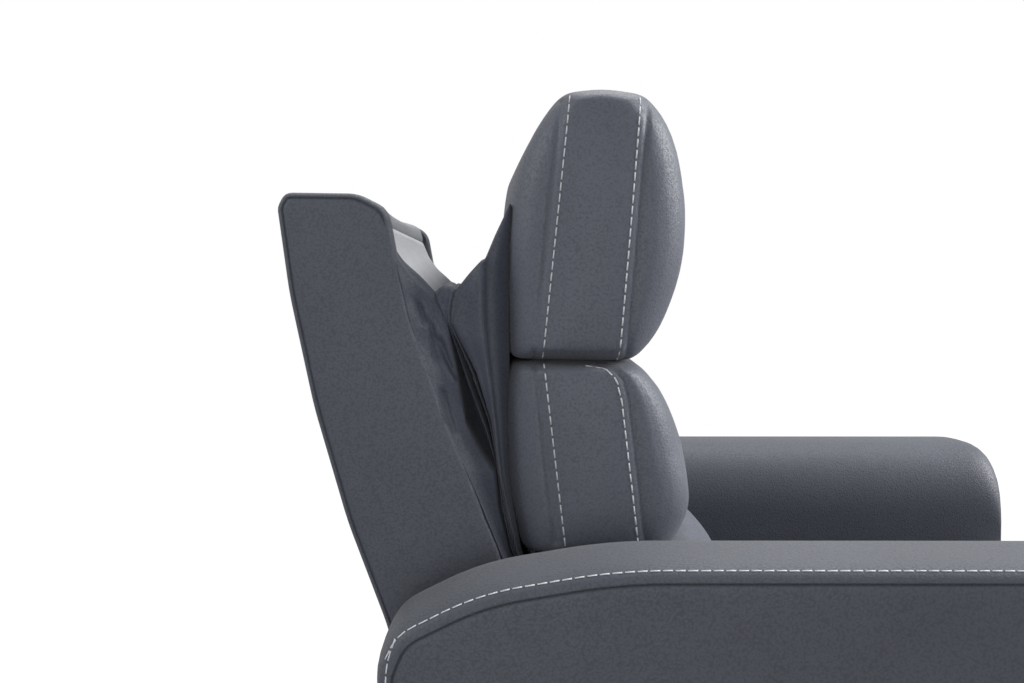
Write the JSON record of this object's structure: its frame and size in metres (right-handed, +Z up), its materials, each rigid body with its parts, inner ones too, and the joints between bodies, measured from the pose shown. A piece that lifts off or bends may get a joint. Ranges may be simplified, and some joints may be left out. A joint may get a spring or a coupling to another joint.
{
  "type": "power lift recliner",
  "caption": "Upholstered armchair on a motorised lift base, with a reclining back, a tilting pillow headrest, a fold-out footrest and a control panel in one arm.",
  "frame": {"origin": "middle of the footprint on the floor", "axes": "+Z up, -Y the way the sitter faces, +X to the sitter's left"},
  "size_m": [0.85, 0.9006, 1.0462],
  "materials": {
    "upholstery": "fine pebbled slate-grey upholstery",
    "frame_paint": "black powder coat",
    "bright_steel": "zinc plated",
    "wood": "plain plywood",
    "plastic": "moulded black plastic",
    "key_plastic": "dark grey moulded key",
    "glide": "black rubber",
    "rod": "ground steel"
  },
  "bodies": {
    "base": {"base_frame": "frame_paint", "floor_glides": "glide", "stay_pins": "bright_steel", "power_supply": "plastic", "mains_inlet": "plastic"},
    "lift_arms": {"lift_arms": "frame_paint"},
    "stay_arms": {"stay_arms": "frame_paint"},
    "chair": {"cross_tubes": "frame_paint", "lift_plates": "frame_paint", "back_brackets": "frame_paint", "arm_bolts": "bright_steel", "seat_frame": "wood", "seat_springs": "bright_steel", "seat_cushion": "upholstery", "rear_panel": "upholstery", "control_panel": "plastic", "charging_socket": "plastic", "seat_rail_left": "frame_paint", "seat_rail_right": "frame_paint", "arm_cover_left": "upholstery", "arm_cover_right": "upholstery", "arm_frame_left": "wood", "arm_frame_right": "wood"},
    "footrest_rear_links": {"footrest_rear_links": "frame_paint"},
    "footrest_front_links": {"footrest_front_links": "frame_paint"},
    "footrest": {"footrest_brackets": "frame_paint", "footrest_board": "wood", "footrest_pad": "upholstery"},
    "back": {"back_side_panels": "upholstery", "back_rear_panel": "upholstery", "back_frame": "wood", "back_drive_rail": "frame_paint", "head_brackets": "frame_paint", "back_springs": "bright_steel", "lower_pillow": "upholstery", "gusset": "upholstery"},
    "headrest": {"headrest_frame": "frame_paint", "headrest_board": "wood", "mid_pillow": "upholstery", "head_pillow": "upholstery"},
    "lift_actuator": {"lift_actuator": "plastic", "lift_motor": "plastic"},
    "lift_rod": {"lift_rod": "rod"},
    "recline_actuator": {"recline_actuator": "plastic", "recline_motor": "plastic"},
    "recline_rod": {"recline_rod": "rod"},
    "foot_actuator": {"foot_actuator": "plastic", "foot_motor": "plastic"},
    "foot_rod": {"foot_rod": "rod"},
    "head_actuator": {"head_actuator": "plastic", "head_motor": "plastic"},
    "head_rod": {"head_rod": "rod"},
    "button_lift_up": {"button_lift_up": "key_plastic"},
    "button_back_up": {"button_back_up": "key_plastic"},
    "button_foot_up": {"button_foot_up": "key_plastic"},
    "button_head_up": {"button_head_up": "key_plastic"},
    "button_lift_down": {"button_lift_down": "key_plastic"},
    "button_back_down": {"button_back_down": "key_plastic"},
    "button_foot_down": {"button_foot_down": "key_plastic"},
    "button_head_down": {"button_head_down": "key_plastic"}
  },
  "joints": [
    {"name": "lift", "type": "hinge", "parent": "base", "child": "lift_arms", "pos_m": [0, -0.1662, 0.107], "axis": [1, 0, 0], "range_deg": [0, 44]},
    {"name": "chair_tilt", "type": "hinge", "parent": "lift_arms", "child": "chair", "pos_m": [0, 0.1823, 0.1216], "axis": [1, 0, 0], "range_deg": [-22.8, 0.2]},
    {"name": "stay_swing", "type": "hinge", "parent": "base", "child": "stay_arms", "pos_m": [0, -0.2459, 0.1002], "axis": [1, 0, 0], "range_deg": [-0.2, 53.6]},
    {"name": "back_recline", "type": "hinge", "parent": "chair", "child": "back", "pos_m": [0, 0.195, 0.385], "axis": [-1, 0, 0], "range_deg": [0, 38]},
    {"name": "headrest_tilt", "type": "hinge", "parent": "back", "child": "headrest", "pos_m": [0, 0.2265, 0.576], "axis": [1, 0, 0], "range_deg": [-16.5, 0], "deforming": ["gusset"]},
    {"name": "footrest_lift", "type": "hinge", "parent": "chair", "child": "footrest_rear_links", "pos_m": [0, -0.2, 0.33], "axis": [-1, 0, 0], "range_deg": [0, 59.6]},
    {"name": "footrest_knee", "type": "hinge", "parent": "footrest_rear_links", "child": "footrest_front_links", "pos_m": [0, -0.28024, 0.19158], "axis": [-1, 0, 0], "range_deg": [-116.86, 0.3]},
    {"name": "footrest_turn", "type": "hinge", "parent": "footrest_front_links", "child": "footrest", "pos_m": [0, -0.34, 0.34], "axis": [-1, 0, 0], "range_deg": [-0.3, 147.26]},
    {"name": "lift_actuator_swing", "type": "hinge", "parent": "base", "child": "lift_actuator", "pos_m": [0, 0.262, 0.062], "axis": [-1, 0, 0], "range_deg": [-3.76, 0.3]},
    {"name": "lift_rod_slide", "type": "slide", "parent": "lift_actuator", "child": "lift_rod", "axis": [0, -0.9658, 0.2594], "range_m": [-0.0005, 0.04532]},
    {"name": "recline_actuator_swing", "type": "hinge", "parent": "chair", "child": "recline_actuator", "pos_m": [0, -0.185, 0.262], "axis": [-1, 0, 0], "range_deg": [-3.48, 0.3]},
    {"name": "recline_rod_slide", "type": "slide", "parent": "recline_actuator", "child": "recline_rod", "axis": [0, 0.9921, 0.1253], "range_m": [-0.04525, 0.0005]},
    {"name": "foot_actuator_swing", "type": "hinge", "parent": "chair", "child": "foot_actuator", "pos_m": [0, 0.07, 0.258], "axis": [-1, 0, 0], "range_deg": [-2.45, 0.3]},
    {"name": "foot_rod_slide", "type": "slide", "parent": "foot_actuator", "child": "foot_rod", "axis": [0, -0.9886, 0.1509], "range_m": [-0.0005, 0.03817]},
    {"name": "head_actuator_swing", "type": "hinge", "parent": "back", "child": "head_actuator", "pos_m": [0, 0.255, 0.398], "axis": [-1, 0, 0], "range_deg": [-0.3, 2.98]},
    {"name": "head_rod_slide", "type": "slide", "parent": "head_actuator", "child": "head_rod", "axis": [0, 0.2517, 0.9678], "range_m": [-0.02234, 0.0005]},
    {"name": "button_lift_up", "type": "slide", "parent": "chair", "child": "button_lift_up", "axis": [1, 0, 0], "range_m": [0, 0.002], "stiffness_N_per_m": 600, "springref_m": -0.002},
    {"name": "button_back_up", "type": "slide", "parent": "chair", "child": "button_back_up", "axis": [1, 0, 0], "range_m": [0, 0.002], "stiffness_N_per_m": 600, "springref_m": -0.002},
    {"name": "button_foot_up", "type": "slide", "parent": "chair", "child": "button_foot_up", "axis": [1, 0, 0], "range_m": [0, 0.002], "stiffness_N_per_m": 600, "springref_m": -0.002},
    {"name": "button_head_up", "type": "slide", "parent": "chair", "child": "button_head_up", "axis": [1, 0, 0], "range_m": [0, 0.002], "stiffness_N_per_m": 600, "springref_m": -0.002},
    {"name": "button_lift_down", "type": "slide", "parent": "chair", "child": "button_lift_down", "axis": [1, 0, 0], "range_m": [0, 0.002], "stiffness_N_per_m": 600, "springref_m": -0.002},
    {"name": "button_back_down", "type": "slide", "parent": "chair", "child": "button_back_down", "axis": [1, 0, 0], "range_m": [0, 0.002], "stiffness_N_per_m": 600, "springref_m": -0.002},
    {"name": "button_foot_down", "type": "slide", "parent": "chair", "child": "button_foot_down", "axis": [1, 0, 0], "range_m": [0, 0.002], "stiffness_N_per_m": 600, "springref_m": -0.002},
    {"name": "button_head_down", "type": "slide", "parent": "chair", "child": "button_head_down", "axis": [1, 0, 0], "range_m": [0, 0.002], "stiffness_N_per_m": 600, "springref_m": -0.002}
  ],
  "couplings": [
    {"joint": "chair_tilt", "follows": "lift", "ratio": -0.5133},
    {"joint": "stay_swing", "follows": "lift", "ratio": 1.2098},
    {"joint": "footrest_knee", "follows": "footrest_lift", "ratio": -1.9556},
    {"joint": "footrest_turn", "follows": "footrest_lift", "ratio": 2.4656},
    {"joint": "lift_actuator_swing", "follows": "lift", "ratio": -0.07864},
    {"joint": "lift_rod_slide", "follows": "lift", "m_per_rad": 0.058368},
    {"joint": "recline_actuator_swing", "follows": "back_recline", "ratio": -0.08371},
    {"joint": "recline_rod_slide", "follows": "back_recline", "m_per_rad": -0.067475},
    {"joint": "foot_actuator_swing", "follows": "footrest_lift", "ratio": -0.03609},
    {"joint": "foot_rod_slide", "follows": "footrest_lift", "m_per_rad": 0.036213},
    {"joint": "head_actuator_swing", "follows": "headrest_tilt", "ratio": -0.16268},
    {"joint": "head_rod_slide", "follows": "headrest_tilt", "m_per_rad": 0.075822}
  ]
}
